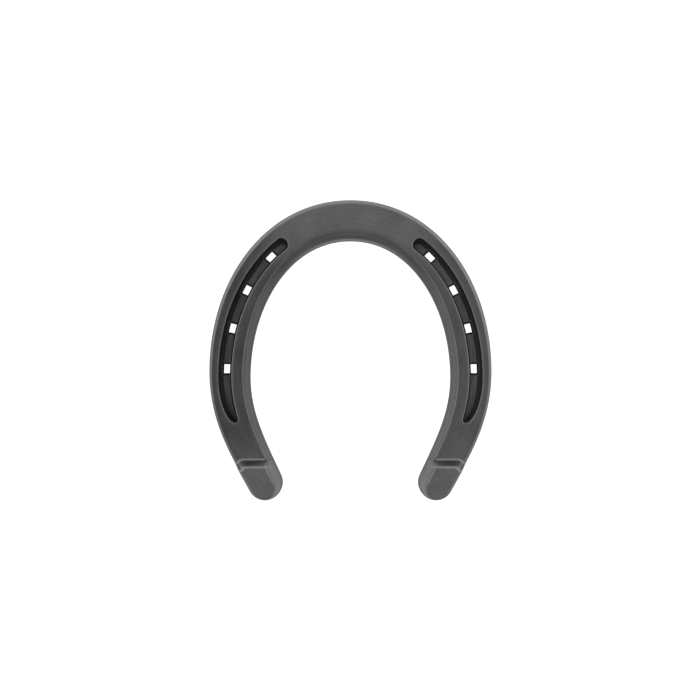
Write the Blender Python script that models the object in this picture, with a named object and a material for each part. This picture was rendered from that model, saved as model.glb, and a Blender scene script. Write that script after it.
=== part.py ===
"""A forged steel horseshoe: one piece, creased for nails, with a block at each heel.

The shoe lies on its hoof face, with the ground face up (+Z) and the toe towards +Y. Each
branch is laid out from its outer edge: a place on it is a station (the distance along the
outer edge from the toe) and a depth (the distance inwards from that edge). The +X branch
is built, and its mirror image makes the other one. Sizes are in metres.
"""

import math

import bmesh
import bpy
import numpy as np
from mathutils import Vector

# Outline
LENGTH = 0.138  # toe to heel tips
WIDTH = 0.130  # across the quarters
WIDEST_FROM_TOE = 0.0788  # toe to the widest place
HEEL_SPACING = 0.0783  # between the centres of the two heel tips
HEEL_ANGLE = math.radians(61.0)  # run of a branch at its heel, from the X axis
TOE_FULLNESS = 0.595  # curve handle at the toe, as a share of the half width
SHOULDER_FULLNESS = 0.544  # handle above the widest place, as a share of its distance
QUARTER_FULLNESS = 0.412  # handle below the widest place, as a share of the rest
HEEL_FULLNESS = 0.348  # handle at the heel, as a share of the same rest

# Web: the flat bar, seen from above
WEB_TOE = 0.01885
WEB_QUARTER = 0.0196
WEB_HEEL = 0.0159
QUARTER_AT = 0.38  # share of the branch where the web is widest
HEEL_THINNING = 2.1  # how late the web thins towards the heel
THICKNESS = 0.008
OUTER_ROUND = 0.0016  # radius of the outer edge of the ground face
HOOF_CHAMFER = 0.0006  # both edges of the hoof face
BEVEL_TOE = 0.0043  # width of the inner bevel at the toe
BEVEL_HEEL = 0.0029  # and where it meets the heel block
INNER_WALL = 0.0048  # height of the inner edge below the bevel
BEVEL_CROWN = 0.00025  # how far the bevel bulges

# Heel blocks
BLOCK_LENGTH = 0.0153  # heel tip to the top edge of the block's front
BLOCK_HEIGHT = 0.005  # above the ground face
BLOCK_FRONT_RUN = 0.0032  # slope of the front, seen from above
BLOCK_EDGE = 0.0012  # radius of the block's outer edge
BLOCK_BEVEL = 0.0062  # width of the slope on its inner side
TIP_EDGE = 0.0010  # width of that slope at the end of the heel
TIP_BEVEL_START = math.radians(60.0)  # where the slope starts to widen around the tip

# Crease and nail holes
CREASE_FROM_TOE = 0.0382  # station of its toe end
CREASE_TO_BLOCK = 0.0212  # from its heel end to the block's front, in the middle of the web
CREASE_WIDTH = 0.0061
CREASE_DEPTH = 0.005
CREASE_INNER_TOE = 0.0122  # depth of its inner side at the toe end
CREASE_INNER_HEEL = 0.0095  # and at the heel end
CREASE_OUTER_DRAFT = 0.00235  # lean of the outer wall, seen from above
CREASE_INNER_DRAFT = 0.00065  # lean of the inner wall
CREASE_NOSE = 0.0217  # length over which the heel end narrows
CREASE_CORNER = 0.0012  # radius at the inner corner of the heel end
NAILS = 4
NAIL_FROM_CREASE_TOE = 0.0112  # toe end of the crease to the first hole
NAIL_FROM_CREASE_HEEL = 0.0271  # last hole to the heel end of the crease
NAIL_HOLE = (0.0027, 0.0040)  # across and along the web, at the hoof face
NAIL_HOLE_TOP = (0.0029, 0.0043)  # the same in the floor of the crease

# Fineness of the curves
EDGE_SAMPLES = 400
WEB_STEP = 0.0023
TIP_STEPS = 14
ROUND_STEPS = 3
CUT_PAST = 0.001  # how far a cutter runs past the face that it cuts
HOLE_PAST = 0.0002  # and past the floor of the crease, clear of its walls
MERGE = 0.00001  # distance at which the two branches join at the toe


def bezier(start, handle, end_handle, end, steps):
    """Points on a cubic curve, without its last one."""
    t = np.linspace(0, 1, steps, endpoint=False)[:, None]
    return (
        (1 - t) ** 3 * start
        + 3 * (1 - t) ** 2 * t * handle
        + 3 * (1 - t) * t**2 * end_handle
        + t**3 * end
    )


def tip_centre():
    """Centre of the half-round that ends the branch."""
    return np.array([HEEL_SPACING / 2, WEB_HEEL / 2 - LENGTH / 2])


def outer_edge():
    """The branch's outer edge from the toe to where the round heel tip starts."""
    run = np.array([math.cos(HEEL_ANGLE), math.sin(HEEL_ANGLE)])
    toe = np.array([0, LENGTH / 2])
    widest = np.array([WIDTH / 2, LENGTH / 2 - WIDEST_FROM_TOE])
    heel = tip_centre() + WEB_HEEL / 2 * np.array([run[1], -run[0]])
    rest = widest[1] - heel[1]
    toe_handle = toe + [TOE_FULLNESS * WIDTH / 2, 0]
    shoulder_handle = widest + [0, SHOULDER_FULLNESS * WIDEST_FROM_TOE]
    quarter_handle = widest - [0, QUARTER_FULLNESS * rest]
    heel_handle = heel + run * HEEL_FULLNESS * rest
    return np.vstack(
        [
            bezier(toe, toe_handle, shoulder_handle, widest, EDGE_SAMPLES),
            bezier(widest, quarter_handle, heel_handle, heel, EDGE_SAMPLES),
            heel,
        ]
    )


EDGE = outer_edge()
EDGE_AT = np.concatenate([[0], np.cumsum(np.linalg.norm(np.diff(EDGE, axis=0), axis=1))])
EDGE_RUN = np.gradient(EDGE, EDGE_AT, axis=0)
EDGE_RUN[0] = (1, 0)
BRANCH = EDGE_AT[-1]


def place(station, depth, height):
    """The point of the +X branch at a station and a depth."""
    x, y = (np.interp(station, EDGE_AT, EDGE[:, i]) for i in (0, 1))
    run_x, run_y = (np.interp(station, EDGE_AT, EDGE_RUN[:, i]) for i in (0, 1))
    scale = depth / math.hypot(run_x, run_y)
    return Vector((x + run_y * scale, y - run_x * scale, height))


def mix(first, second, share):
    return first + (second - first) * share


def ease(share):
    """0 to 1, starting and ending gently."""
    share = min(max(share, 0), 1)
    return share * share * (3 - 2 * share)


def web(station):
    """Width of the web at a station."""
    share = station / BRANCH
    if share < QUARTER_AT:
        return WEB_TOE + (WEB_QUARTER - WEB_TOE) * ease(share / QUARTER_AT)
    thinning = ((share - QUARTER_AT) / (1 - QUARTER_AT)) ** HEEL_THINNING
    return WEB_QUARTER - (WEB_QUARTER - WEB_HEEL) * thinning


def station_at(y, inner):
    """The station where the outer or inner edge crosses a line parallel to X."""
    low, high = BRANCH / 2, BRANCH
    for _ in range(40):
        middle = (low + high) / 2
        depth = web(middle) if inner else 0
        if place(middle, depth, 0).y > y:
            low = middle
        else:
            high = middle
    return low


BLOCK_TOP_Y = BLOCK_LENGTH - LENGTH / 2
BLOCK_FOOT_Y = BLOCK_TOP_Y + BLOCK_FRONT_RUN
FOOT = (station_at(BLOCK_FOOT_Y, False), station_at(BLOCK_FOOT_Y, True))
TOP = (station_at(BLOCK_TOP_Y, False), station_at(BLOCK_TOP_Y, True))
CREASE_END = sum(FOOT) / 2 - CREASE_TO_BLOCK


def block_share(station, side):
    """0 on the web, 1 on the heel block, for the outer (0) or the inner (1) side."""
    return min(max((station - FOOT[side]) / (TOP[side] - FOOT[side]), 0), 1)


def side_profile(inset, drop, top, crown):
    """(depth, height) from the hoof face up to the top face. Inset and drop are the size
    of the slope or round between the side and the top."""
    points = [(HOOF_CHAMFER, 0), (0, HOOF_CHAMFER)]
    for step in range(ROUND_STEPS + 1):
        share = step / ROUND_STEPS
        turn = share * math.pi / 2
        curved = (inset * (1 - math.cos(turn)), drop * math.sin(turn))
        straight = (inset * share, drop * share)
        points.append(
            (
                mix(straight[0], curved[0], crown),
                top - drop + mix(straight[1], curved[1], crown),
            )
        )
    return points


def bevel_crown(inset, drop):
    """Share of a full round that gives the bevel its slight bulge."""
    full_bulge = (math.sqrt(2) - 1) * inset * drop / math.hypot(inset, drop)
    return BEVEL_CROWN / full_bulge


def outer_profile(station):
    share = block_share(station, 0)
    radius = mix(OUTER_ROUND, BLOCK_EDGE, share)
    return side_profile(radius, radius, THICKNESS + BLOCK_HEIGHT * share, 1)


def inner_profile(station):
    share = block_share(station, 1)
    plain = mix(BEVEL_TOE, BEVEL_HEEL, station / FOOT[1])
    inset = mix(plain, BLOCK_BEVEL, share)
    top = THICKNESS + BLOCK_HEIGHT * share
    drop = top - INNER_WALL
    return side_profile(inset, drop, top, bevel_crown(inset, drop))


def tip_profile(turn):
    """The profile around the heel tip, from the outer side (0) to the inner one (pi)."""
    share = ease((turn - TIP_BEVEL_START) / (math.pi - TIP_BEVEL_START))
    early = ease(turn / TIP_BEVEL_START)
    inset = mix(mix(BLOCK_EDGE, TIP_EDGE, early), BLOCK_BEVEL, share)
    top = THICKNESS + BLOCK_HEIGHT
    drop = mix(BLOCK_EDGE, top - INNER_WALL, share)
    crown = mix(1, bevel_crown(inset, drop), ease(turn / math.pi))
    return side_profile(inset, drop, top, crown)


def chord_point(chord, share_from, inset, height):
    """A point on the line across the web between two stations, one on the outer edge and
    one on the inner edge, at an inset from the outer (0) or inner (1) side."""
    share = inset / web(chord[share_from])
    if share_from:
        share = 1 - share
    station = mix(chord[0], chord[1], share)
    depth = web(station) - inset if share_from else inset
    return place(station, depth, height)


def chords():
    """Pairs of stations across the web. They turn with it, apart from those at the front
    of the heel block, which are parallel to X."""
    to_foot = np.linspace(0, 1, int(FOOT[0] / WEB_STEP) + 2)
    to_tip = np.linspace(0, 1, int((BRANCH - TOP[0]) / WEB_STEP) + 2)
    sides = [
        np.concatenate([FOOT[side] * to_foot, mix(TOP[side], BRANCH, to_tip)])
        for side in (0, 1)
    ]
    return list(zip(*sides))


def rim_sections():
    """Sections of the rim on the outer edge, around the heel tip, and on the inner edge.
    The two edges have the same number of them, in pairs across the web."""
    sides = [
        [
            [chord_point(chord, side, *point) for point in profile(chord[side])]
            for chord in chords()
        ]
        for side, profile in enumerate((outer_profile, inner_profile))
    ]
    centre = tip_centre()
    tip = []
    for step in range(1, TIP_STEPS):
        turn = math.pi * step / TIP_STEPS
        heading = HEEL_ANGLE - math.pi / 2 - turn
        tip.append(
            [
                Vector(
                    (
                        centre[0] + (WEB_HEEL / 2 - inset) * math.cos(heading),
                        centre[1] + (WEB_HEEL / 2 - inset) * math.sin(heading),
                        height,
                    )
                )
                for inset, height in tip_profile(turn)
            ]
        )
    return sides[0], tip, sides[1]


def loft(bm, sections, closed):
    """Quads between each section and the next one. They face outwards where the sections
    run upwards and follow each other clockwise, seen from above, or both the other way."""
    pairs = list(zip(sections, sections[1:]))
    if closed:
        pairs.append((sections[-1], sections[0]))
    for first, second in pairs:
        for i in range(len(first) - 1):
            bm.faces.new((first[i], first[i + 1], second[i + 1], second[i]))


def add_with_mirror(name, bm):
    """An object of what bm holds and its mirror image across the middle plane."""
    mesh = bpy.data.meshes.new(name)
    bm.to_mesh(mesh)
    bm.free()
    obj = bpy.data.objects.new(name, mesh)
    bpy.context.collection.objects.link(obj)
    mirror = obj.modifiers.new("other_branch", "MIRROR")
    mirror.merge_threshold = MERGE
    return obj


def shoe_body():
    """The bar with its heel blocks, before the crease and the holes are cut."""
    bm = bmesh.new()
    outer, tip, inner = (
        [[bm.verts.new(point) for point in section] for section in part]
        for part in rim_sections()
    )
    loft(bm, outer + tip + inner[::-1], False)
    around_tip = [outer[-1]] + tip + [inner[-1]]
    for level, order in ((0, 1), (-1, -1)):
        for i in range(len(outer) - 1):
            corners = (outer[i], outer[i + 1], inner[i + 1], inner[i])
            bm.faces.new([section[level] for section in corners][::order])
        bm.faces.new([section[level] for section in around_tip][::order])
    return add_with_mirror("horseshoe", bm)


def frustum(bm, top, bottom):
    """A closed solid between two rings that run anticlockwise, seen from above."""
    rings = [[bm.verts.new(point) for point in ring] for ring in (top, bottom)]
    loft(bm, list(zip(*rings)), True)
    caps = [bm.faces.new(rings[0]), bm.faces.new(rings[1][::-1])]
    bmesh.ops.triangulate(bm, faces=caps)


def crease_inner(station):
    """Depth of the crease's inner side."""
    share = (station - CREASE_FROM_TOE) / (CREASE_END - CREASE_FROM_TOE)
    return mix(CREASE_INNER_TOE, CREASE_INNER_HEEL, share)


def crease_outline(level):
    """(station, depth) around the crease: at the ground face for level 0, at the floor
    for 1. Both have the same number of points, in the same order."""
    width = CREASE_WIDTH - (CREASE_OUTER_DRAFT + CREASE_INNER_DRAFT) * level
    corner = CREASE_CORNER - CREASE_INNER_DRAFT * level
    toe = CREASE_FROM_TOE + CREASE_WIDTH / 2
    end = CREASE_END - (CREASE_OUTER_DRAFT - CREASE_INNER_DRAFT) / 2 * level
    nose = CREASE_END - CREASE_NOSE
    steps = int((end - toe) / WEB_STEP)
    inner_side = [(s, 0) for s in np.linspace(toe, end - corner, steps)]
    inner_corner = [
        (end - corner + corner * math.sin(turn), corner * (math.cos(turn) - 1))
        for turn in np.linspace(0, math.pi / 2, 5)[1:]
    ]
    nose_side = [
        (
            nose + (end - nose) * math.cos(turn),
            -corner - (width - corner) * math.sin(turn),
        )
        for turn in np.linspace(0, math.pi / 2, 13)[1:]
    ]
    outer_side = [(s, -width) for s in np.linspace(nose, toe, steps)[1:]]
    toe_end = [
        (toe - width / 2 * math.sin(turn), -width / 2 * (1 + math.cos(turn)))
        for turn in np.linspace(0, math.pi, 9)[1:-1]
    ]
    draft = CREASE_INNER_DRAFT * level
    return [
        (s, crease_inner(s) - draft + shift)
        for s, shift in inner_side + inner_corner + nose_side + outer_side + toe_end
    ]


def crease_cutter():
    bm = bmesh.new()
    rings = []
    for level in (-CUT_PAST / CREASE_DEPTH, 1):
        height = THICKNESS - CREASE_DEPTH * level
        rings.append([place(s, d, height) for s, d in crease_outline(level)])
    frustum(bm, *rings)
    return add_with_mirror("crease_cutter", bm)


def nail_depth(station):
    """Depth of the middle of the crease's floor."""
    floor = CREASE_WIDTH - CREASE_OUTER_DRAFT - CREASE_INNER_DRAFT
    return crease_inner(station) - CREASE_INNER_DRAFT - floor / 2


def nail_stations():
    """Stations that space the holes evenly along the line through them."""
    first = CREASE_FROM_TOE + NAIL_FROM_CREASE_TOE
    last = CREASE_END - NAIL_FROM_CREASE_HEEL
    stations = np.linspace(first, last, EDGE_SAMPLES)
    line = np.array([place(s, nail_depth(s), 0) for s in stations])
    along = np.cumsum(np.linalg.norm(np.diff(line, axis=0), axis=1))
    along = np.concatenate([[0], along])
    return np.interp(np.linspace(0, along[-1], NAILS), along, stations)


def nail_hole_cutter():
    """A tapered punch for each nail of the branch."""
    floor = THICKNESS - CREASE_DEPTH
    bm = bmesh.new()
    for station in nail_stations():
        middle = place(station, nail_depth(station), 0)
        inward = (place(station, WEB_TOE, 0) - place(station, 0, 0)).normalized()
        along = Vector((-inward.y, inward.x, 0))
        rings = []
        for share in (1 + HOLE_PAST / floor, -CUT_PAST / floor):
            across, length = (
                mix(low, high, share) / 2 for low, high in zip(NAIL_HOLE, NAIL_HOLE_TOP)
            )
            level = middle + Vector((0, 0, floor * share))
            corners = ((-1, -1), (1, -1), (1, 1), (-1, 1))
            rings.append(
                [level + inward * across * i + along * length * j for i, j in corners]
            )
        frustum(bm, *rings)
    return add_with_mirror("nail_hole_cutter", bm)


def cut(body, cutter):
    cutter.hide_render = True
    cutter.display_type = "WIRE"
    cutter.hide_set(True)
    modifier = body.modifiers.new(cutter.name, "BOOLEAN")
    modifier.operation = "DIFFERENCE"
    modifier.solver = "EXACT"
    modifier.object = cutter


def forged_steel():
    material = bpy.data.materials.new("forged_mild_steel")
    material.use_nodes = True
    shader = material.node_tree.nodes["Principled BSDF"]
    shader.inputs["Base Color"].default_value = (0.085, 0.086, 0.088, 1)
    shader.inputs["Metallic"].default_value = 0.9
    shader.inputs["Roughness"].default_value = 0.5
    return material


def main():
    for obj in list(bpy.data.objects):
        bpy.data.objects.remove(obj, do_unlink=True)
    body = shoe_body()
    cut(body, crease_cutter())
    cut(body, nail_hole_cutter())
    body.data.materials.append(forged_steel())
    body.data.shade_smooth()
    body.data.set_sharp_from_angle(angle=math.radians(28))


main()
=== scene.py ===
"""Forged steel horseshoe on a plain pale floor, laid out as an add-on and run as a script."""

import math
from collections import namedtuple

import bpy
import numpy as np
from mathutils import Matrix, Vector


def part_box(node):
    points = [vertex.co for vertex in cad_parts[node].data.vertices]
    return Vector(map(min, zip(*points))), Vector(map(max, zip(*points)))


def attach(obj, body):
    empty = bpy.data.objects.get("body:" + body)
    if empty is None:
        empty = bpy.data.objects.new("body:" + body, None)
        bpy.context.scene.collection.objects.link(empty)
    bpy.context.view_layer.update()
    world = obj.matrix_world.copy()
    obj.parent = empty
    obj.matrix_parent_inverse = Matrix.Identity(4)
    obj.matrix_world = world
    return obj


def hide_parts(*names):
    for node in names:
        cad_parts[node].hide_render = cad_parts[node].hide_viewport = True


bl_info = {
    "name": "Forged Horseshoe",
    "version": (1, 0, 0),
    "blender": (4, 5, 0),
    "location": "View3D > Sidebar > Horseshoe",
    "description": "Models a creased, heeled horseshoe in forged steel",
    "category": "Add Mesh",
}

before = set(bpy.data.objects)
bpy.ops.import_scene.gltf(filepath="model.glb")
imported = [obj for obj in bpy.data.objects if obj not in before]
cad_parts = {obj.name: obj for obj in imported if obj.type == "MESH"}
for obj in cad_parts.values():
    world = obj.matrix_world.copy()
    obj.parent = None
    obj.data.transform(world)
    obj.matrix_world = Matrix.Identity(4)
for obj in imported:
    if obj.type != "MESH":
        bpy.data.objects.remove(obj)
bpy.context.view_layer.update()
LOW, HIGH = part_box("horseshoe")

# How full a branch's outer edge is, and where its web swells and thins
HEEL_ANGLE = math.radians(61.0)
TOE_FULLNESS = 0.595
SHOULDER_FULLNESS = 0.544
QUARTER_FULLNESS = 0.412
HEEL_FULLNESS = 0.348
QUARTER_AT = 0.38
HEEL_THINNING = 2.1

# Bulge of the inner bevel, the length over which it is rounder at the toe, and where and
# how thin it starts around the heel tip
BEVEL_CROWN = 0.00025
ROUND_TOE = 0.050
ROUND_TOE_CROWN = 0.95
TIP_BEVEL_START = math.radians(60.0)
TIP_EDGE = 0.0009

# How bluntly the crease's heel end narrows, how much its floor rises towards the outer
# wall, the most of the floor's width that a hole takes, and how far the outer corner of
# the block's front falls back, per radius
NOSE_TAPER = 0.40
FLOOR_HOLLOW = 0.0008
HOLE_SHARE = 0.96
CORNER_DROP = 0.52

# Dents left by the forging: their depth, and waves in radians per millimetre along X and
# Y, with their phases and heights
FORGED_WAVES = 0.00004
WAVES = (
    (0.21, 0.09, 0.6, 1.0),
    (-0.11, 0.17, 2.1, 1.0),
    (0.43, 0.37, 4.0, 0.5),
    (-0.29, 0.52, 1.3, 0.5),
)

# Fineness of the mesh, and rows close to the crease's ends by their distance from them
EDGE_SAMPLES = 400
ROW_STEP = 0.00068
CREASE_END_ROWS = 12
CREASE_APPROACH = (0.0005, 0.0003, 0.00015, 0.00006)
FRONT_ROWS = 26
FRONT_RISES = (-0.5, 2.1)
PLAIN_RISE = -1
BLOCK_RISE = 9
TIP_ROWS = 40
HOLE_STEPS = 6
EDGE_SOFTENING = 2
MERGE = 0.000002
NARROWEST = 0.0003
SMOOTH_BELOW = math.radians(50)

# Mill scale: the shares of the way from the toe to the heel tip over which it thickens,
# thins by so much, and ends
SCALE_THICKENS = (0.12, 0.32)
SCALE_THINS = (0.72, 0.86)
SCALE_THINNING = 0.4
SCALE_ENDS = (0.86, 0.91)
# Painted shade along the toe's inner edge, counted in with the scale: how far down the bevel
# and how wide it is, how fast it falls away on the flat instead, and the shares over which it
# fades
BAND_AT = 0.0022
BAND_WIDTH = 0.0014
BAND_SPREAD = 0.42
BAND_FADES = (0.25, 0.45)

# Rubbed steel on convex edges and painted highlight on concave fillets: the bulge that is
# fully marked, and the painted highlight at the crease's lips and on the land beside them,
# with the distances over which they fade
WEAR_HIGHLIGHT_BULGE = 0.00004
FILLET_BELOW = 0.0004
LIP_SUNK = 0.06
LIP_HIGHLIGHT = 0.40
LIP_WIDTH = 0.0004
LAND_HIGHLIGHT = 0.24
LAND_FADE = 0.0012

# Painted shade: around the nail holes; on the crease's floor, at the foot of its walls and on
# its inner wall; at the inner end of each block's foot; and in the band at the toe
HOLE_SHADE_REACH = 0.0005
HOLE_SHADE_FADE = 0.0005
HOLE_SHADE_SUNK = 0.25
FLOOR_SHADE = 0.5
FOOT_SHADE = 0.84
OUTER_FOOT = 0.0018
INNER_FOOT = 0.0010
WALL_SHADE = 0.8
BLOCK_SHADE = 0.8
BLOCK_SHADE_WIDTH = 0.0005
BLOCK_SHADE_RISE = 0.1
BLOCK_SHADE_LENGTH = 0.3
TOE_BAND_SHADE = 0.25

# How far each noise moves the scale's colour between dark and light, what the creases add
# to the streaks and to the roughness, and how much lighter the +X branch is painted, per
# metre, as painted light
PATCH_REACH = 0.7
GRAIN_REACH = 0.6
STREAK_REACH = 0.5
CREASE_STREAKS = 2.0
CREASE_DULLNESS = 0.12
SIDE_LIGHT_REACH = 4.0
ROUGHNESS_REACH = 0.16
WEAR_HIGHLIGHT_REACH = 0.8
# Height of the streaks against the grains, how deep both are, and the scale's reflection
# at grazing angles
STREAK_HEIGHT = 0.3
BUMP_DEPTH = 0.00003
GRAZING = 0.3

# Columns of the grid around the bar, from the outer edge of the hoof face
RIM = 21
LIP = RIM + 8
TOP_HOLE = LIP + 10
INNER_LIP = TOP_HOLE + HOLE_STEPS + 9
INNER_RIM = INNER_LIP + 10
HOOF = INNER_RIM + RIM
HOOF_HOLE = HOOF + 5

# Soft lights: name, place, turn in degrees, size, power
LIGHTS = (
    ("left_softbox", (-1.1, 0.2, 1.2), (0, -43, 0), (1.0, 2.4), 8),
    ("right_softbox", (1.1, 0.2, 1.2), (0, 43, 0), (1.0, 2.4), 8),
)
# Brightness of the light tent overhead, and what it gains low down and on the far side
TENT_OVERHEAD = 0.62
TENT_LOW = 0.15
TENT_FAR = 0.46
CAMERA_ASIDE = (-0.0002, -0.00005)


# ---------------------------------------------------------------- sizes and colours


class ShoeSizes(bpy.types.PropertyGroup):
    """Sizes of the shoe."""

    length: bpy.props.FloatProperty(
        name="Length", description="Toe to heel tips", unit="LENGTH",
        default=HIGH[1] - LOW[1],
    )
    width: bpy.props.FloatProperty(
        name="Width", description="Across the quarters", unit="LENGTH",
        default=HIGH[0] - LOW[0],
    )
    widest_from_toe: bpy.props.FloatProperty(
        name="Widest from toe", description="Toe to the widest place", unit="LENGTH",
        default=0.0788,
    )
    heel_spacing: bpy.props.FloatProperty(
        name="Heel spacing", description="Between the centres of the heel tips",
        unit="LENGTH", default=0.0783,
    )
    web_toe: bpy.props.FloatProperty(
        name="Web at toe", description="Width of the bar at the toe", unit="LENGTH",
        default=0.01885,
    )
    web_quarter: bpy.props.FloatProperty(
        name="Web at quarter", description="Greatest width of the bar", unit="LENGTH",
        default=0.0196,
    )
    web_heel: bpy.props.FloatProperty(
        name="Web at heel", description="Width of the bar where the tip starts",
        unit="LENGTH", default=0.0159,
    )
    thickness: bpy.props.FloatProperty(
        name="Thickness", description="Hoof face to ground face", unit="LENGTH",
        default=0.008,
    )
    outer_round: bpy.props.FloatProperty(
        name="Outer round", description="Reach of the round on the outer edge",
        unit="LENGTH", default=0.0019,
    )
    hoof_round: bpy.props.FloatProperty(
        name="Hoof edge round", description="Reach of the round at the hoof face",
        unit="LENGTH", default=0.0006,
    )
    bevel_toe: bpy.props.FloatProperty(
        name="Bevel at toe", description="Width of the inner bevel at the toe",
        unit="LENGTH", default=0.0043,
    )
    bevel_heel: bpy.props.FloatProperty(
        name="Bevel at heel", description="Width of the inner bevel at the heel block",
        unit="LENGTH", default=0.0031,
    )
    inner_wall: bpy.props.FloatProperty(
        name="Inner wall", description="Height of the inner edge below the bevel",
        unit="LENGTH", default=0.0048,
    )


class BlockSizes(bpy.types.PropertyGroup):
    """Sizes of the heel blocks."""

    length: bpy.props.FloatProperty(
        name="Length", description="Heel tip to the top edge of the front",
        unit="LENGTH", default=0.0153,
    )
    height: bpy.props.FloatProperty(
        name="Height", description="Above the ground face", unit="LENGTH",
        default=HIGH[2] - 0.008,
    )
    front_run: bpy.props.FloatProperty(
        name="Front slope", description="Width of the sloped front", unit="LENGTH",
        default=0.0032,
    )
    edge: bpy.props.FloatProperty(
        name="Edge", description="Reach of the round on its outer edge", unit="LENGTH",
        default=0.0012,
    )
    bevel: bpy.props.FloatProperty(
        name="Bevel", description="Width of the slope on its inner side", unit="LENGTH",
        default=0.0049,
    )
    corner: bpy.props.FloatProperty(
        name="Front corner", description="Radius of its outer front corner",
        unit="LENGTH", default=0.0031,
    )


class CreaseSizes(bpy.types.PropertyGroup):
    """Sizes of the crease and of the nail holes in it."""

    from_toe: bpy.props.FloatProperty(
        name="From toe", description="Along the outer edge to its toe end",
        unit="LENGTH", default=0.0374,
    )
    to_block: bpy.props.FloatProperty(
        name="To block", description="From its heel end to the heel block",
        unit="LENGTH", default=0.0202,
    )
    width: bpy.props.FloatProperty(
        name="Width", description="At the ground face", unit="LENGTH", default=0.0061,
    )
    depth: bpy.props.FloatProperty(
        name="Depth", description="Below the ground face", unit="LENGTH", default=0.005,
    )
    inner_toe: bpy.props.FloatProperty(
        name="Inner side at toe", description="From the outer edge", unit="LENGTH",
        default=0.0122,
    )
    inner_heel: bpy.props.FloatProperty(
        name="Inner side at heel", description="From the outer edge", unit="LENGTH",
        default=0.0095,
    )
    outer_draft: bpy.props.FloatProperty(
        name="Outer draft", description="Lean of the outer wall", unit="LENGTH",
        default=0.00235,
    )
    inner_draft: bpy.props.FloatProperty(
        name="Inner draft", description="Lean of the inner wall", unit="LENGTH",
        default=0.00065,
    )
    nose: bpy.props.FloatProperty(
        name="Nose", description="Length over which its heel end narrows",
        unit="LENGTH", default=0.0217,
    )
    corner: bpy.props.FloatProperty(
        name="Corner", description="Radius at the inner corner of its heel end",
        unit="LENGTH", default=0.0012,
    )
    nails: bpy.props.IntProperty(
        name="Nail holes", description="In each branch", default=4, min=1, max=6,
    )
    first_nail: bpy.props.FloatProperty(
        name="First hole", description="From the crease's toe end", unit="LENGTH",
        default=0.0120,
    )
    last_nail: bpy.props.FloatProperty(
        name="Last hole", description="From the crease's heel end", unit="LENGTH",
        default=0.0281,
    )
    hole_across: bpy.props.FloatProperty(
        name="Hole across", description="At the hoof face", unit="LENGTH",
        default=0.0026,
    )
    hole_along: bpy.props.FloatProperty(
        name="Hole along", description="At the hoof face", unit="LENGTH",
        default=0.0040,
    )
    hole_flare: bpy.props.FloatProperty(
        name="Hole flare", description="How much wider each side is at the crease's floor",
        unit="LENGTH", default=0.0006,
    )


class SteelFinish(bpy.types.PropertyGroup):
    """Colours and roughness of the forged steel."""

    thin_dark: bpy.props.StringProperty(
        name="Thin scale, dark", description="sRGB colour at the toe and the heel blocks",
        default="#565656",
    )
    thin_light: bpy.props.StringProperty(
        name="Thin scale, light", description="sRGB colour of the light patches there",
        default="#7A7A7A",
    )
    thick_dark: bpy.props.StringProperty(
        name="Thick scale, dark", description="sRGB colour along the creases",
        default="#3F3F3F",
    )
    thick_light: bpy.props.StringProperty(
        name="Thick scale, light", description="sRGB colour of the light patches there",
        default="#606060",
    )
    crease_light: bpy.props.StringProperty(
        name="Crease, light", description="sRGB colour of the light streaks in the creases",
        default="#A6A6A6",
    )
    # Also used as painted highlight on the crease's lips, the land beside them and concave
    # fillets
    rubbed_and_highlight: bpy.props.StringProperty(
        name="Rubbed steel", description="sRGB colour of edges where the scale is rubbed",
        default="#838383",
    )
    # Painted shade: this colour darkens the creases, the block feet, the toe band and the
    # nail holes
    painted_shade: bpy.props.StringProperty(
        name="Soot", description="sRGB colour of the dirt deep in the creases",
        default="#0C0C0C",
    )
    roughness: bpy.props.FloatProperty(
        name="Roughness", description="Of the scale, between polished 0 and matt 1",
        default=0.42, min=0.0, max=1.0, subtype="FACTOR",
    )


class StageSettings(bpy.types.PropertyGroup):
    """The floor, the light and the camera."""

    floor_colour: bpy.props.StringProperty(
        name="Floor", description="sRGB colour of the floor", default="#8C8C8C",
    )
    floor_glow: bpy.props.FloatProperty(
        name="Floor glow", description="Light that comes up through the floor",
        default=1.0, min=0.0,
    )
    camera_height: bpy.props.FloatProperty(
        name="Camera height", description="Above the ground face", unit="LENGTH",
        default=1.1,
    )
    view_width: bpy.props.FloatProperty(
        name="View width", description="Width of the camera's view at the shoe",
        unit="LENGTH", default=0.3219,
    )


# ---------------------------------------------------------------- layout of a branch


def mix(first, second, share):
    return first + (second - first) * share


def ease(share):
    """0 to 1, starting and ending gently."""
    share = np.clip(share, 0, 1)
    return share * share * (3 - 2 * share)


def ramp(value, start, end):
    """0 at the start and 1 at the end, eased between them."""
    return ease((value - start) / (end - start))


def fade(distance, width):
    """1 at no distance, falling away like a bell."""
    return np.exp(-((distance / width) ** 2))


def spaced(steps):
    """Shares from 0 towards 1, closer at both ends. The last one is left out."""
    turns = np.linspace(0, math.pi, steps, endpoint=False)
    return (1 - np.cos(turns)) / 2


def bezier(start, handle, end_handle, end, steps):
    """Points on a cubic curve, without its last one."""
    t = np.linspace(0, 1, steps, endpoint=False)[:, None]
    return (
        (1 - t) ** 3 * start
        + 3 * (1 - t) ** 2 * t * handle
        + 3 * (1 - t) * t**2 * end_handle
        + t**3 * end
    )


def soften(points, passes, around):
    """Rounds every corner of a grid of points a little, across the web or along it."""
    for _ in range(passes):
        if around:
            before, after = np.roll(points, 1, axis=1), np.roll(points, -1, axis=1)
            points = (before + 2 * points + after) / 4
        else:
            other_side = points[1] * (-1, 1, 1)
            before = np.concatenate([other_side[None], points[:-1]])
            after = np.concatenate([points[1:], points[-1:]])
            softer = (before + 2 * points + after) / 4
            points = np.concatenate([softer[:-1], points[-1:]])
    return points


Row = namedtuple("Row", "outer inner rise")


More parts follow.
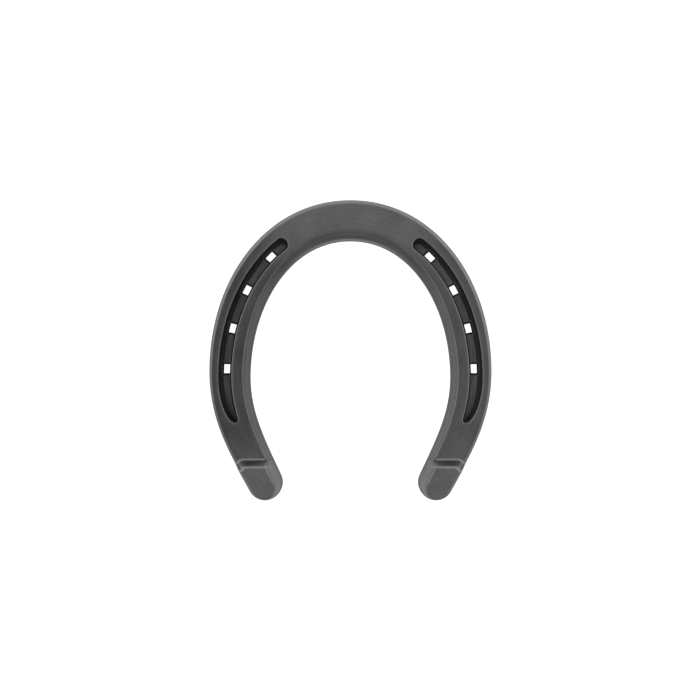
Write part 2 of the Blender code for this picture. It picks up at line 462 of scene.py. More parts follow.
class Branch:
    """The +X branch, laid out from its outer edge. A station is the distance along that
    edge from the toe, and a depth the distance inwards from it."""

    def __init__(self, shoe, block, crease):
        self.shoe, self.block, self.crease = shoe, block, crease
        self.radius = shoe.web_heel / 2
        self.tip = np.array([shoe.heel_spacing / 2, self.radius - shoe.length / 2])
        self.edge = self.outer_edge()
        lengths = np.linalg.norm(np.diff(self.edge, axis=0), axis=1)
        self.at = np.concatenate([[0], np.cumsum(lengths)])
        self.run = np.gradient(self.edge, self.at, axis=0)
        self.run[0] = (1, 0)
        self.end = self.at[-1]
        top_y = block.length - shoe.length / 2
        foot_y = top_y + block.front_run
        self.foot = self.station_at(foot_y, 0), self.station_at(foot_y, 1)
        self.top = self.station_at(top_y, 0), self.station_at(top_y, 1)
        self.crease_start = crease.from_toe
        self.crease_end = sum(self.foot) / 2 - crease.to_block
        self.nails = self.nail_stations()

    def outer_edge(self):
        shoe = self.shoe
        run = np.array([math.cos(HEEL_ANGLE), math.sin(HEEL_ANGLE)])
        toe = np.array([0, shoe.length / 2])
        widest = np.array([shoe.width / 2, shoe.length / 2 - shoe.widest_from_toe])
        heel = self.tip + self.radius * np.array([run[1], -run[0]])
        rest = widest[1] - heel[1]
        toe_handle = toe + [TOE_FULLNESS * shoe.width / 2, 0]
        shoulder_handle = widest + [0, SHOULDER_FULLNESS * shoe.widest_from_toe]
        quarter_handle = widest - [0, QUARTER_FULLNESS * rest]
        heel_handle = heel + run * HEEL_FULLNESS * rest
        front = bezier(toe, toe_handle, shoulder_handle, widest, EDGE_SAMPLES)
        back = bezier(widest, quarter_handle, heel_handle, heel, EDGE_SAMPLES)
        return np.vstack([front, back, heel])

    def place(self, station, depth):
        """(x, y) at stations and depths."""
        x, y = (np.interp(station, self.at, self.edge[:, i]) for i in (0, 1))
        run_x, run_y = (np.interp(station, self.at, self.run[:, i]) for i in (0, 1))
        scale = depth / np.hypot(run_x, run_y)
        return np.stack([x + run_y * scale, y - run_x * scale], axis=-1)

    def web(self, station):
        """Width of the bar at a station."""
        shoe, share = self.shoe, np.asarray(station) / self.end
        swelling = mix(shoe.web_toe, shoe.web_quarter, ease(share / QUARTER_AT))
        late = np.clip((share - QUARTER_AT) / (1 - QUARTER_AT), 0, None)
        thinning = mix(shoe.web_quarter, shoe.web_heel, late**HEEL_THINNING)
        return np.where(share < QUARTER_AT, swelling, thinning)

    def station_at(self, y, side):
        """The station where the outer or inner edge crosses a line parallel to X."""
        low, high = self.end / 2, self.end
        for _ in range(40):
            middle = (low + high) / 2
            if self.place(middle, self.web(middle) * side)[1] > y:
                low = middle
            else:
                high = middle
        return low

    def crease_inner(self, station):
        """Depth of the crease's inner side at the ground face."""
        crease = self.crease
        share = (station - self.crease_start) / (self.crease_end - self.crease_start)
        return mix(crease.inner_toe, crease.inner_heel, share)

    def nail_depth(self, station):
        """Depth of the middle of the crease's floor."""
        crease = self.crease
        floor = crease.width - crease.outer_draft - crease.inner_draft
        return self.crease_inner(station) - crease.inner_draft - floor / 2

    def nail_stations(self):
        """Stations that space the holes evenly along the line through them."""
        crease = self.crease
        first = self.crease_start + crease.first_nail
        last = self.crease_end - crease.last_nail
        stations = np.linspace(first, last, EDGE_SAMPLES)
        line = self.place(stations, self.nail_depth(stations))
        along = np.cumsum(np.linalg.norm(np.diff(line, axis=0), axis=1))
        along = np.concatenate([[0], along])
        return np.interp(np.linspace(0, along[-1], crease.nails), along, stations)

    def crease_lines(self, station):
        """Depths of the crease's outer lip, both sides of its floor and its inner lip, and
        how deep it is there as a share. Off its ends the four lines fan out on the flat."""
        crease, start, end = self.crease, self.crease_start, self.crease_end
        inner = self.crease_inner(station)
        draft, corner = crease.inner_draft, crease.corner
        width = crease.width
        floor = width - crease.outer_draft - draft
        toe_centre = start + width / 2
        if station < toe_centre:
            away = toe_centre - station
            level = min(max((width / 2 - away) / ((width - floor) / 2), 0), 1)
            lip = math.sqrt(max((width / 2) ** 2 - away**2, 0))
            bottom = math.sqrt(max((floor / 2) ** 2 - away**2, 0))
            fan = min(max(start - station, 0) / width, 1)
            lip = max(lip, width / 2 * fan, NARROWEST * 2)
            bottom = max(bottom, floor / 2 * fan, NARROWEST)
            middle = inner - width / 2
            low = mix(middle, inner - draft - floor / 2, max(level, fan))
            return middle - lip, low - bottom, low + bottom, middle + lip, level
        nose = end - crease.nose
        middle = inner - corner
        floor_end = end - (crease.outer_draft - draft) / 2
        level = min(max((end - station) / (end - floor_end), 0), 1)
        fan = min(max(station - end, 0) / width, 1)
        lines = []
        for last, spread, radius in (
            (end, width - corner, corner),
            (floor_end, floor - corner + draft, corner - draft),
        ):
            along = min(max(station - nose, 0) / (last - nose), 1)
            into = min(max(station - last + radius, 0) / radius, 1)
            outer = max(spread * (1 - along**2) ** NOSE_TAPER, spread * fan, NARROWEST)
            inwards = max(radius * math.sqrt(1 - into**2), radius * fan, NARROWEST)
            lines.append((middle - outer, middle + inwards))
        (lip, inner_lip), (low, inner_low) = lines
        return lip, low, inner_low, inner_lip, level

    def rows(self):
        """Lines across the web from toe to heel tip, and the first row of each nail hole.
        They lie square to the outer edge as far as the crease goes, then turn parallel to
        X for the front of the block. Rise is how far up that front a row is."""
        crease, start, end = self.crease, self.crease_start, self.crease_end
        turns = np.linspace(0, math.pi / 2, CREASE_END_ROWS)[1:]
        stations = list(np.linspace(0, start - CREASE_APPROACH[0], int(start / ROW_STEP)))
        stations += [start - step for step in CREASE_APPROACH[1:]] + [start]
        stations += list(start + crease.width / 2 * (1 - np.cos(turns)))
        holes = []
        for nail in self.nails:
            reach, depth = 0.001, self.nail_depth(nail)
            span = np.diff(self.place(np.array([nail - reach, nail + reach]), depth), axis=0)
            scale = 2 * reach / np.linalg.norm(span)
            half = (crease.hole_along / 2 + crease.hole_flare) * scale
            stations += self.evenly(stations[-1], nail - half)
            holes.append(len(stations) - 1)
            stations += list(np.linspace(nail - half, nail + half, HOLE_STEPS + 1)[1:])
        last = end - crease.corner * 2
        stations += self.evenly(stations[-1], last)
        stations += list(mix(last, end, np.sin(turns)))
        stations += [end + step for step in reversed(CREASE_APPROACH)]
        end = stations[-1]
        rows = [Row(station, station, PLAIN_RISE) for station in stations]
        rises = np.linspace(*FRONT_RISES, FRONT_ROWS)
        front = [mix(self.foot[side], self.top[side], rises) for side in (0, 1)]
        for share in self.evenly(0, 1, (front[0][0] - end) / ROW_STEP)[:-1]:
            outer, inner = (mix(end, line[0], share) for line in front)
            rows.append(Row(outer, inner, PLAIN_RISE))
        rows += [Row(*three) for three in zip(*front, rises)]
        for share in self.evenly(0, 1, (self.end - front[0][-1]) / ROW_STEP):
            outer, inner = (mix(line[-1], self.end, share) for line in front)
            rows.append(Row(outer, inner, BLOCK_RISE))
        return rows, holes

    @staticmethod
    def evenly(first, last, steps=None):
        """Values after first as far as last, a row's step apart."""
        steps = max(round((last - first) / ROW_STEP if steps is None else steps), 2)
        return list(np.linspace(first, last, steps + 1)[1:])

    def block_share(self, rise, inside=math.inf):
        """How far up the block's front a place is. The front's outer corner is round, and
        inside is the distance in from the outer edge's round."""
        corner = self.block.corner
        short = np.clip(1 - inside / corner, 0, 1)
        return np.clip(rise - CORNER_DROP * corner * short**2 / self.block.front_run, 0, 1)

    def rim(self, inset, drop, top, crown):
        """(inset, height) from the hoof face up to the top, around the round or the bevel.
        Crown is its bulge: 1 for a full round, 0 for a flat slope."""
        hoof = self.shoe.hoof_round
        turns = np.linspace(0, math.pi / 2, 5)
        low = np.stack([hoof * (1 - np.sin(turns)), hoof * (1 - np.cos(turns))], axis=1)
        side = np.linspace(hoof, top - drop, 7)[1:-1]
        shares = (1 - np.cos(np.linspace(0, math.pi, 11))) / 2
        turns = shares * math.pi / 2
        out = mix(shares, 1 - np.cos(turns), crown) * inset
        up = mix(shares, np.sin(turns), crown) * drop + top - drop
        return np.vstack(
            [low, np.stack([side * 0, side], axis=1), np.stack([out, up], axis=1)]
        )

    def bevel(self, inset, drop):
        """Crown that gives the bevel its slight bulge."""
        return BEVEL_CROWN / ((math.sqrt(2) - 1) * inset * drop / math.hypot(inset, drop))

    def outer_rim(self, row):
        share = self.block_share(row.rise, 0)
        late = ramp(row.outer / self.foot[0], QUARTER_AT, 1)
        reach = mix(self.shoe.outer_round, self.block.edge, late)
        return self.rim(reach, reach, self.shoe.thickness + self.block.height * share, 1)

    def inner_rim(self, row):
        share = self.block_share(row.rise)
        plain = mix(self.shoe.bevel_toe, self.shoe.bevel_heel, row.inner / self.foot[1])
        inset = mix(plain, self.block.bevel, share)
        top = self.shoe.thickness + self.block.height * share
        drop = top - self.shoe.inner_wall
        flat = self.bevel(inset, drop)
        rounder = 1 - ramp(row.inner, 0, ROUND_TOE)
        return self.rim(inset, drop, top, mix(flat, ROUND_TOE_CROWN, rounder))

    def tip_rim(self, turn):
        """The rim around the heel tip, from the outer side (0) to the inner one (pi)."""
        share = ramp(turn, TIP_BEVEL_START, math.pi)
        early = ramp(turn, 0, TIP_BEVEL_START)
        edge = self.block.edge
        inset = mix(mix(edge, TIP_EDGE, early), self.block.bevel, share)
        top = self.shoe.thickness + self.block.height
        drop = mix(edge, top - self.shoe.inner_wall, share)
        crown = mix(1, self.bevel(inset, drop), ramp(turn, 0, math.pi))
        return self.rim(inset, drop, top, crown)

    def top_columns(self, row, first, last):
        """(depth, height) across the ground face and through the crease."""
        station = (row.outer + row.inner) / 2
        lip, low, inner_low, inner_lip, level = self.crease_lines(station)
        level = 1 - (1 - level) ** 2
        top = self.shoe.thickness
        bottom = top - self.crease.depth * level
        middle = (low + inner_low) / 2
        flared = self.crease.hole_across / 2 + self.crease.hole_flare
        hole = min(flared, (inner_low - low) / 2 * HOLE_SHARE)
        corners = [
            (first, top, 9),
            (lip, top, 9),
            (low, bottom, 1),
            (middle - hole, bottom, HOLE_STEPS),
            (middle + hole, bottom, 1),
            (inner_low, bottom, 8),
            (inner_lip, top, 10),
        ]
        columns = []
        for this, after in zip(corners, corners[1:] + [(last, top, 0)]):
            (depth, height, steps), (to_depth, to_height, _) = this, after
            even = steps <= HOLE_STEPS
            share = np.linspace(0, 1, steps, endpoint=False) if even else spaced(steps)
            ends = mix(depth, to_depth, share), mix(height, to_height, share)
            columns.append(np.stack(ends, axis=1))
        columns = np.vstack(columns)
        across = np.clip((columns[:, 0] - low) / (inner_low - low), 0, 1)
        down = np.clip((columns[:, 0] - lip) / max(low - lip, NARROWEST), 0, 1)
        in_crease = (columns[:, 0] > lip) & (columns[:, 0] < inner_low)
        columns[:, 1] += FLOOR_HOLLOW * level * down**2 * (1 - across) ** 2 * in_crease
        return columns[1:]

    def hoof_columns(self, station, first, last):
        """Depths across the hoof face, from the inner side back to the outer one."""
        middle = self.nail_depth(station)
        half = self.crease.hole_across / 2
        inner = np.linspace(last, middle + half, 7)
        hole = np.linspace(middle + half, middle - half, HOLE_STEPS + 1)
        outer = np.linspace(middle - half, first, 7)
        return np.concatenate([inner[1:-1], hole, outer[1:-1]])

    def section(self, row):
        """(x, y, z) once around the bar at a row."""
        station = (row.outer + row.inner) / 2
        web = self.web(station)
        outer, inner = self.outer_rim(row), self.inner_rim(row)
        first, last = outer[-1][0], web - inner[-1][0]
        top = self.top_columns(row, first, last)
        rise = self.block.height * self.block_share(row.rise, top[:, 0] - first)
        top[:, 1] += rise
        hoof = self.hoof_columns(station, outer[0][0], web - inner[0][0])
        depth = np.concatenate([outer[:, 0], top[:, 0], web - inner[::-1, 0], hoof])
        height = np.concatenate([outer[:, 1], top[:, 1], inner[::-1, 1], hoof * 0])
        share = depth / web
        stations = mix(row.outer, row.inner, share)
        stations[HOOF:] -= self.hoof_shift(station)
        return np.column_stack([self.place(stations, share * self.web(stations)), height])

    def run_marks(self, points):
        """How far along and across the branch each point is, in metres, and how thick its
        mill scale is as a share: thickest along the creases, and raised by a band of painted
        shade along the toe's inner edge."""
        line = (points[:, RIM] + points[:, INNER_RIM]) / 2
        steps = np.linalg.norm(np.diff(line, axis=0), axis=1)
        along = np.concatenate([[0], np.cumsum(steps)])
        across = np.cumsum(
            np.linalg.norm(np.diff(points, axis=1, prepend=points[:, :1]), axis=2), axis=1
        )
        share = along / along[-1]
        thick = ramp(share, *SCALE_THICKENS) * (1 - ramp(share, *SCALE_ENDS))
        thick *= 1 - SCALE_THINNING * ramp(share, *SCALE_THINS)
        # Painted shade: a dark band down the toe's inner bevel
        down = across - across[:, INNER_RIM, None] - BAND_AT
        toe_shade = fade(np.where(down < 0, down * BAND_SPREAD, down), BAND_WIDTH)
        toe_shade *= 1 - ramp(share, *BAND_FADES)[:, None]
        return {
            "along": np.broadcast_to(along[:, None], across.shape),
            "across": across,
            "scale_and_toe_shade": np.maximum(thick[:, None], toe_shade),
            "toe_shade_band": toe_shade,
        }

    def hoof_shift(self, station):
        """How far the hoof face's columns move along at a station, so that the nail holes
        are shorter there than at the crease's floor."""
        crease = self.crease
        half = crease.hole_along / 2 + crease.hole_flare
        away = station - self.nails[np.argmin(abs(self.nails - station))]
        fade = max(1 - max(abs(away) - half, 0) / crease.hole_along, 0)
        return np.sign(away) * min(abs(away) / half, 1) * crease.hole_flare * fade

    def tip_section(self, turn, across, hoof_across):
        """The same at a turn around the heel tip. Across are the shares that space the
        columns between its outer and its inner rim."""
        sides = []
        for around in (turn, math.pi - turn):
            heading = HEEL_ANGLE - math.pi / 2 - around
            way = np.array([math.cos(heading), math.sin(heading)])
            rim = self.tip_rim(around)
            place = self.tip + (self.radius - rim[:, :1]) * way
            sides.append(np.column_stack([place, rim[:, 1]]))
        outer, inner = sides
        top = mix(outer[-1], inner[-1], across[:, None])
        hoof = mix(inner[0], outer[0], hoof_across[:, None])
        return np.vstack([outer, top, inner[::-1], hoof])


# ---------------------------------------------------------------- modelling


def shoe_points(branch):
    """The branch's grid of points, row by row and once around the bar in each row, the
    first row of each nail hole, and how far up the block's front each row is."""
    rows, holes = branch.rows()
    sections = [branch.section(row) for row in rows]
    last = sections[-1]
    across, hoof_across = (
        np.linalg.norm(last[part] - last[start], axis=1)
        / np.linalg.norm(last[end] - last[start])
        for part, start, end in (
            (slice(RIM, INNER_RIM), RIM - 1, INNER_RIM),
            (slice(HOOF, None), HOOF - 1, 0),
        )
    )
    for turn in np.linspace(0, math.pi / 2, TIP_ROWS + 1)[1:]:
        sections.append(branch.tip_section(turn, across, hoof_across))
    rises = np.array([row.rise for row in rows] + [BLOCK_RISE] * TIP_ROWS)
    return np.array(sections), holes, rises


def outward(points):
    """Directions that point out of the bar at every point of the grid."""
    around = np.roll(points, -1, axis=1) - np.roll(points, 1, axis=1)
    along = np.gradient(points, axis=0)
    out = np.cross(around, along)
    return out / np.maximum(np.linalg.norm(out, axis=2, keepdims=True), 1e-12)


def hammered(points, thickness):
    """How far the forging left the ground face below its full height at each point."""
    x, y, z = np.moveaxis(points, 2, 0)
    waves = sum(
        height * np.sin((x * across + y * along) * 1000 + phase)
        for across, along, phase, height in WAVES
    )
    share = np.clip(z / thickness, 0, 1) ** 2
    total = sum(height for *_, height in WAVES)
    return FORGED_WAVES * (1 + waves / total) * share


def wear_and_highlight_marks(points, sunk, worn_and_lit):
    """How rubbed or painted bright each point is: rubbed on the edges, with a painted
    highlight at the lips of the crease, fading away over the land beside them."""
    rows = np.flatnonzero(sunk.max(axis=1) > LIP_SUNK)
    ends = points[[rows[0], rows[-1]], LIP : INNER_LIP + 1].reshape(-1, 3)
    sides = points[rows][:, [LIP, INNER_LIP]].reshape(-1, 3)
    lips = np.concatenate([sides, ends])
    land = points[:, RIM:INNER_RIM]
    gaps = np.array([np.linalg.norm(row[:, None] - lips, axis=2).min(axis=1) for row in land])
    # Painted highlight at the crease's lips and over the land beside them
    glow = LIP_HIGHLIGHT * fade(gaps, LIP_WIDTH) + LAND_HIGHLIGHT * np.exp(-gaps / LAND_FADE)
    glow *= np.clip(1 - sunk[:, RIM:INNER_RIM] / LIP_SUNK, 0, 1)
    worn_and_lit[:, RIM:INNER_RIM] = np.maximum(worn_and_lit[:, RIM:INNER_RIM], glow)
    return worn_and_lit


def painted_shade_marks(sunk, across, toe_shade_band, rises):
    """How much painted shade each point has: in the creases, most at the foot of their walls,
    along the toe's inner edge and at the inner end of each block's foot."""
    foot = TOP_HOLE + HOLE_STEPS + 1
    from_outer = np.clip((across - across[:, LIP + 9, None]) / OUTER_FOOT, 0, 1)
    from_inner = np.clip((across[:, foot, None] - across) / INNER_FOOT, 0, 1)
    crease = sunk**4 * mix(FOOT_SHADE, FLOOR_SHADE, np.minimum(from_outer, from_inner))
    wall = slice(foot, INNER_LIP - 1)
    crease[:, wall] = np.maximum(crease[:, wall], WALL_SHADE * (sunk[:, wall] > LIP_SUNK))
    near = fade(across - across[:, INNER_RIM, None], BLOCK_SHADE_WIDTH)
    block = BLOCK_SHADE * near * fade(rises - BLOCK_SHADE_RISE, BLOCK_SHADE_LENGTH)[:, None]
    return np.maximum(np.maximum(crease, block), TOE_BAND_SHADE * toe_shade_band**3)


def hole_shade_marks(points, sunk, holes):
    """How much painted shade each point has: fully in the mouths of the nail holes, and
    fading away from them over the hoof face and up the sides of the crease."""
    shaded = np.zeros(points.shape[:2])
    in_crease = slice(LIP, INNER_LIP)
    on_hoof_face = slice(HOOF, HOOF_HOLE + 2 * HOLE_STEPS)
    for row in holes:
        for column, columns in ((TOP_HOLE, in_crease), (HOOF_HOLE, on_hoof_face)):
            rows, last = row + HOLE_STEPS + 1, column + HOLE_STEPS + 1
            mouth = points[row:rows, column:last, :2].reshape(-1, 2)
            near = slice(row - HOLE_STEPS, rows + HOLE_STEPS), columns
            place = points[near][:, :, None, :2]
            gaps = np.linalg.norm(place - mouth, axis=3).min(axis=2)
            share = np.clip(1 - (gaps - HOLE_SHADE_REACH) / HOLE_SHADE_FADE, 0, 1)
            if columns == in_crease:
                share *= np.clip(sunk[near] / HOLE_SHADE_SUNK, 0, 1)
            shaded[near] = np.maximum(shaded[near], share)
    return shaded


def add_branch(points, marks):
    """A grid primitive laid around the branch, its long edges and its heel end laid on each
    other, to be merged later.
    """
    rows, columns = points.shape[:2]
    closed = np.concatenate([points, points[:, :1]], axis=1)
    bpy.ops.object.select_all(action="DESELECT")
    bpy.ops.mesh.primitive_grid_add(x_subdivisions=columns, y_subdivisions=rows - 1, size=1)
    branch = bpy.context.object
    branch.name = branch.data.name = "forged_horseshoe"
    flat = np.empty(len(branch.data.vertices) * 3)
    branch.data.vertices.foreach_get("co", flat)
    flat = flat.reshape(-1, 3)
    column = np.rint((flat[:, 0] + 0.5) * columns).astype(int)
    row = np.rint((flat[:, 1] + 0.5) * (rows - 1)).astype(int)
    branch.data.vertices.foreach_set("co", closed[row, column].ravel())
    for name, mark in marks.items():
        layer = branch.data.attributes.new(name, "FLOAT", "POINT")
        layer.data.foreach_set("value", mark[row, column % columns].ravel())
    centres = np.empty((len(branch.data.polygons), 4), dtype=int)
    branch.data.polygons.foreach_get("vertices", centres.ravel())
    face_column, face_row = column[centres].min(axis=1), row[centres].min(axis=1)
    return branch, face_row, face_column


def punch_nail_holes(branch, face_row, face_column, holes):
    """Opens the faces over and under each hole, and merges the points that lie on each other.
    """
    gone = np.zeros(len(face_row), dtype=bool)
    for row in holes:
        along = (face_row >= row) & (face_row < row + HOLE_STEPS)
        for column in (TOP_HOLE, HOOF_HOLE):
            gone |= along & (face_column >= column) & (face_column < column + HOLE_STEPS)
    bpy.ops.object.mode_set(mode="EDIT")
    bpy.ops.mesh.select_mode(type="FACE")
    bpy.ops.object.mode_set(mode="OBJECT")
    branch.data.polygons.foreach_set("select", gone)
    bpy.ops.object.mode_set(mode="EDIT")
    bpy.ops.mesh.delete(type="FACE")
    bpy.ops.mesh.select_mode(type="VERT")
    bpy.ops.mesh.select_all(action="SELECT")
    bpy.ops.mesh.remove_doubles(threshold=MERGE)


def open_edges(branch):
    """Loops of open edges of the branch, each as a set of its vertices."""
    mesh = branch.data
    used = np.zeros(len(mesh.edges), dtype=int)
    sides = np.empty(len(mesh.loops), dtype=int)
    mesh.loops.foreach_get("edge_index", sides)
    np.add.at(used, sides, 1)
    ends = [tuple(mesh.edges[i].vertices) for i in np.flatnonzero(used == 1)]
    loops = []
    while ends:
        loop = set(ends.pop())
        grown = True
        while grown:
            grown = False
            for pair in list(ends):
                if loop & set(pair):
                    loop |= set(pair)
                    ends.remove(pair)
                    grown = True
        loops.append(loop)
    return loops


def bridge_holes(branch, nails):
    """Joins the openings of each hole, which lie over each other, with its walls."""
    bpy.ops.object.mode_set(mode="OBJECT")
    loops = [loop for loop in open_edges(branch) if len(loop) == 4 * HOLE_STEPS]
    if len(loops) != 2 * nails:
        raise RuntimeError("the nail holes aren't all open on both faces")
    place = branch.data.vertices
    middles = [
        sum((place[i].co.xy for i in loop), Vector((0, 0))) / len(loop) for loop in loops
    ]
    while loops:
        first, middle = loops.pop(), middles.pop()
        near = min(range(len(loops)), key=lambda i: (middles[i] - middle).length)
        both = first | loops.pop(near)
        middles.pop(near)
        mesh = branch.data
        mesh.polygons.foreach_set("select", [False] * len(mesh.polygons))
        mesh.edges.foreach_set("select", [set(e.vertices) <= both for e in mesh.edges])
        mesh.vertices.foreach_set("select", [v.index in both for v in mesh.vertices])
        bpy.ops.object.mode_set(mode="EDIT")
        bpy.ops.mesh.select_mode(type="EDGE")
        bpy.ops.mesh.bridge_edge_loops()
        bpy.ops.object.mode_set(mode="OBJECT")


def forge_shoe(scene):
    branch = Branch(scene.shoe_sizes, scene.block_sizes, scene.crease_sizes)
    raw, holes, rises = shoe_points(branch)
    soft = soften(soften(raw, EDGE_SOFTENING, True), EDGE_SOFTENING, False)
    out = outward(soft)
    bulge = np.sum((raw - soft) * out, axis=2)
    thickness = scene.shoe_sizes.thickness
    sunk = np.clip((thickness - soft[:, :, 2]) / scene.crease_sizes.depth, 0, 1)
    sunk[:, :LIP] = sunk[:, INNER_LIP + 1 :] = 0
    # Painted highlight: concave fillets just below the ground face, such as the foot of the
    # block's front, get the rubbed colour
    fillet_highlight = np.where(soft[:, :, 2] > thickness - FILLET_BELOW, -bulge, 0)
    fillet_highlight[:, LIP : INNER_LIP + 1] *= (sunk.max(axis=1) < LIP_SUNK / 3)[:, None]
    runs = branch.run_marks(soft)
    toe_shade_band = runs.pop("toe_shade_band")
    worn_and_lit = np.clip(np.maximum(bulge, fillet_highlight) / WEAR_HIGHLIGHT_BULGE, 0, 1)
    marks = {
        "wear_and_highlight": wear_and_highlight_marks(soft, sunk, worn_and_lit),
        "sunk": sunk,
        "painted_shade": painted_shade_marks(sunk, runs["across"], toe_shade_band, rises),
        "hole_shade": hole_shade_marks(soft, sunk, holes),
        **runs,
    }
    soft[:, :, 2] -= hammered(soft, thickness)
    shoe, face_row, face_column = add_branch(soft, marks)
    punch_nail_holes(shoe, face_row, face_column, holes)
    bridge_holes(shoe, scene.crease_sizes.nails)
    bpy.ops.object.modifier_add(type="MIRROR")
    shoe.modifiers[-1].merge_threshold = MERGE
    bpy.ops.object.modifier_apply(modifier=shoe.modifiers[-1].name)
    bpy.ops.object.shade_smooth_by_angle(angle=SMOOTH_BELOW)
    return shoe


# ---------------------------------------------------------------- materials


def linear(colour):
    """A colour for a shader from an sRGB hex value."""
    channels = [int(colour[i : i + 2], 16) / 255 for i in (1, 3, 5)]
    curve = [c / 12.92 if c <= 0.04045 else ((c + 0.055) / 1.055) ** 2.4 for c in channels]
    return curve + [1]


def add_node(tree, kind, inputs=None, **settings):
    """Adds a node with its settings, and with a value or a link for each input named."""
    node = tree.nodes.new(kind)
    for name, value in settings.items():
        setattr(node, name, value)
    for name, source in (inputs or {}).items():
        if isinstance(source, bpy.types.NodeSocket):
            tree.links.new(source, node.inputs[name])
        else:
            node.inputs[name].default_value = source
    return node


def new_material(name):
    material = bpy.data.materials.new(name)
    material.use_nodes = True
    tree = material.node_tree
    return material, tree, tree.nodes["Principled BSDF"]


def maths(tree, operation, *values):
    """The result of a Math node."""
    inputs = dict(enumerate(values))
    return add_node(tree, "ShaderNodeMath", inputs, operation=operation).outputs[0]


def forged_steel(finish):
    """Hot-forged mild steel with its mill scale on: a dark, satin, slightly uneven skin."""
    material, tree, shader = new_material("forged_mild_steel_mill_scale")
    place = add_node(tree, "ShaderNodeTexCoord").outputs["Object"]
    marks = {
        name: add_node(tree, "ShaderNodeAttribute", attribute_name=name).outputs["Fac"]
        for name in (
            "along", "across", "scale_and_toe_shade", "wear_and_highlight", "sunk", "painted_shade", "hole_shade"
        )
    }

    def blend(share, first, second):
        inputs = {"Factor": share, 6: first, 7: second}
        return add_node(tree, "ShaderNodeMix", inputs, data_type="RGBA").outputs[2]

    def around(noise, reach, middle):
        """Noise spread to either side of a middle value."""
        centred = maths(tree, "SUBTRACT", noise, 0.5)
        return maths(tree, "MULTIPLY_ADD", centred, reach, middle)

    # Cloudy patches of thick and thin scale, about 11 mm across
    patches = add_node(
        tree, "ShaderNodeTexNoise", {"Vector": place, "Scale": 90.0, "Detail": 5.0}
    ).outputs["Fac"]
    # Grains of scale, drawn 1 mm across, the finest that shows
    grains = add_node(
        tree, "ShaderNodeTexNoise", {"Vector": place, "Scale": 1000.0, "Detail": 2.0}
    ).outputs["Fac"]
    # Drawing marks of the tools, 0.7 mm apart and some 12 mm long, along the branch
    lengthwise = add_node(
        tree,
        "ShaderNodeCombineXYZ",
        {
            "X": maths(tree, "MULTIPLY", marks["along"], 80.0),
            "Y": maths(tree, "MULTIPLY", marks["across"], 1400.0),
        },
    ).outputs[0]
    streaks = add_node(
        tree, "ShaderNodeTexNoise", {"Vector": lengthwise, "Scale": 1.0, "Detail": 2.0}
    ).outputs["Fac"]
    # Painted light: the +X branch is drawn lighter, as if lit more strongly from that side
    side = add_node(tree, "ShaderNodeSeparateXYZ", {"Vector": place}).outputs["X"]
    side = maths(tree, "MULTIPLY", side, marks["scale_and_toe_shade"])
    side = maths(tree, "MULTIPLY_ADD", side, SIDE_LIGHT_REACH, 0.5)
    scored = maths(tree, "MULTIPLY_ADD", marks["sunk"], CREASE_STREAKS, STREAK_REACH)
    tone_and_side_light = around(streaks, scored, around(patches, PATCH_REACH, side))
    tone_and_side_light = around(grains, GRAIN_REACH, tone_and_side_light)
    thin = blend(tone_and_side_light, linear(finish.thin_dark), linear(finish.thin_light))
    thick = blend(tone_and_side_light, linear(finish.thick_dark), linear(finish.thick_light))
    scale = blend(marks["scale_and_toe_shade"], thin, thick)
    crease = blend(tone_and_side_light, linear(finish.thin_light), linear(finish.crease_light))
    scale = blend(marks["sunk"], scale, crease)
    # Rubbed steel on convex edges, and painted highlight on the crease's lips, the land
    # beside them and concave fillets
    worn_and_lit = maths(tree, "MULTIPLY", marks["wear_and_highlight"], WEAR_HIGHLIGHT_REACH)
    rubbed_and_highlight = blend(worn_and_lit, scale, linear(finish.rubbed_and_highlight))
    # Painted shade: near-black in the creases, at the block feet, in the toe band and in and
    # around the nail holes
    painted_shade = maths(tree, "MAXIMUM", marks["painted_shade"], marks["hole_shade"])
    colour = blend(painted_shade, rubbed_and_highlight, linear(finish.painted_shade))
    height = maths(tree, "MULTIPLY_ADD", streaks, STREAK_HEIGHT, grains)
    bump = add_node(tree, "ShaderNodeBump", {"Height": height, "Distance": BUMP_DEPTH})
    tree.links.new(colour, shader.inputs["Base Color"])
    dull = maths(tree, "MULTIPLY_ADD", marks["sunk"], CREASE_DULLNESS, finish.roughness)
    tree.links.new(around(grains, ROUGHNESS_REACH, dull), shader.inputs["Roughness"])
    tree.links.new(bump.outputs["Normal"], shader.inputs["Normal"])
    # Painted shade: the nail holes and their mouths lose their metal sheen
    tree.links.new(maths(tree, "SUBTRACT", 1.0, marks["hole_shade"]), shader.inputs["Metallic"])
    shader.inputs["Specular IOR Level"].default_value = 0.0
    shader.inputs["Specular Tint"].default_value = (GRAZING, GRAZING, GRAZING, 1)
    return material


def light_table(stage):
    """Opal acrylic sheet, cast smooth and lit from below."""
    material, _, shader = new_material("opal_acrylic_sheet")
    shader.inputs["Base Color"].default_value = linear(stage.floor_colour)
    shader.inputs["Emission Color"].default_value = (1, 1, 1, 1)
    shader.inputs["Emission Strength"].default_value = stage.floor_glow
    shader.inputs["Roughness"].default_value = 0.8
    return material


# ---------------------------------------------------------------- operators and panel


class HORSESHOE_OT_forge(bpy.types.Operator):
    """Shape one branch, punch its nail holes, mirror it and give it its finish"""

    bl_idname = "horseshoe.forge"
    bl_label = "Forge Horseshoe"

    def execute(self, context):
        shoe = forge_shoe(context.scene)
        shoe.data.materials.append(forged_steel(context.scene.steel_finish))
        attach(shoe, "root")
        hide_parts("horseshoe")
        return {"FINISHED"}


def add_light(name, place, turn, size, power):
    bpy.ops.object.light_add(type="AREA", location=place, rotation=turn)
    light = bpy.context.object
    light.name = name
    light.data.shape = "RECTANGLE"
    light.data.size, light.data.size_y = size
    light.data.energy = power
    return light


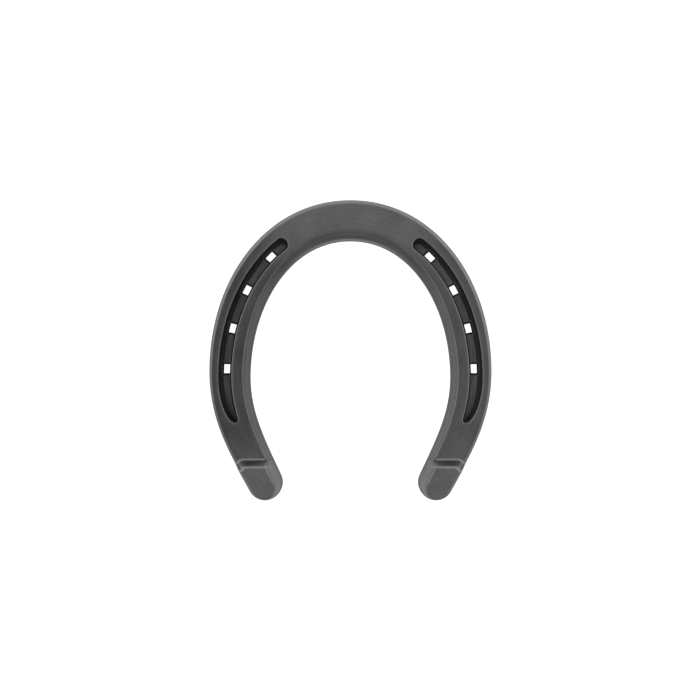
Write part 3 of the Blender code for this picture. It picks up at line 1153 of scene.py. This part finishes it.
def light_tent():
    """Soft light from all round: grey overhead, brighter low down and on the far side."""
    world = bpy.data.worlds.new("light_tent")
    world.use_nodes = True
    tree = world.node_tree
    way = add_node(tree, "ShaderNodeTexCoord").outputs["Generated"]
    parts = add_node(tree, "ShaderNodeSeparateXYZ", {"Vector": way}).outputs
    down = maths(tree, "SUBTRACT", 1.0, maths(tree, "MAXIMUM", parts["Z"], 0.0))
    low = maths(tree, "POWER", down, 2.0)
    glow = maths(tree, "MULTIPLY_ADD", low, TENT_LOW, TENT_OVERHEAD)
    glow = maths(tree, "MULTIPLY_ADD", parts["Y"], TENT_FAR, glow)
    tree.links.new(glow, tree.nodes["Background"].inputs["Strength"])
    tree.nodes["Background"].inputs["Color"].default_value = (1, 1, 1, 1)
    return world


class HORSESHOE_OT_stage(bpy.types.Operator):
    """Add the floor, the soft light and the camera above the shoe"""

    bl_idname = "horseshoe.stage"
    bl_label = "Set Stage"

    def execute(self, context):
        scene, stage = context.scene, context.scene.stage_settings
        bpy.ops.object.select_all(action="DESELECT")
        bpy.ops.mesh.primitive_plane_add(size=6)
        floor = context.object
        floor.name = "floor"
        floor.data.materials.append(light_table(stage))
        for name, place, turn, size, power in LIGHTS:
            add_light(name, place, [math.radians(angle) for angle in turn], size, power)
        scene.world = light_tent()
        scene.view_settings.view_transform = "Standard"
        top = scene.shoe_sizes.thickness
        bpy.ops.object.camera_add(location=(*CAMERA_ASIDE, top + stage.camera_height))
        camera = context.object
        camera.rotation_euler = (0, 0, 0)
        half = stage.view_width / 2
        camera.data.lens = camera.data.sensor_width / 2 * stage.camera_height / half
        scene.camera = camera
        return {"FINISHED"}


class HORSESHOE_PT_panel(bpy.types.Panel):
    """Sizes, finish and building steps of the horseshoe"""

    bl_idname = "HORSESHOE_PT_panel"
    bl_label = "Forged Horseshoe"
    bl_space_type = "VIEW_3D"
    bl_region_type = "UI"
    bl_category = "Horseshoe"

    def draw(self, context):
        layout = self.layout
        for name in GROUPS:
            group = getattr(context.scene, name)
            box = layout.box()
            for prop in group.bl_rna.properties:
                if prop.identifier not in ("rna_type", "name"):
                    box.prop(group, prop.identifier)
        layout.operator("horseshoe.forge")
        layout.operator("horseshoe.stage")


GROUPS = {
    "shoe_sizes": ShoeSizes,
    "block_sizes": BlockSizes,
    "crease_sizes": CreaseSizes,
    "steel_finish": SteelFinish,
    "stage_settings": StageSettings,
}
CLASSES = (*GROUPS.values(), HORSESHOE_OT_forge, HORSESHOE_OT_stage, HORSESHOE_PT_panel)


def register():
    for cls in CLASSES:
        bpy.utils.register_class(cls)
    for name, group in GROUPS.items():
        setattr(bpy.types.Scene, name, bpy.props.PointerProperty(type=group))


def unregister():
    for name in GROUPS:
        delattr(bpy.types.Scene, name)
    for cls in reversed(CLASSES):
        bpy.utils.unregister_class(cls)


def main():
    register()
    bpy.ops.horseshoe.forge()
    bpy.ops.horseshoe.stage()


if __name__ == "__main__":
    main()
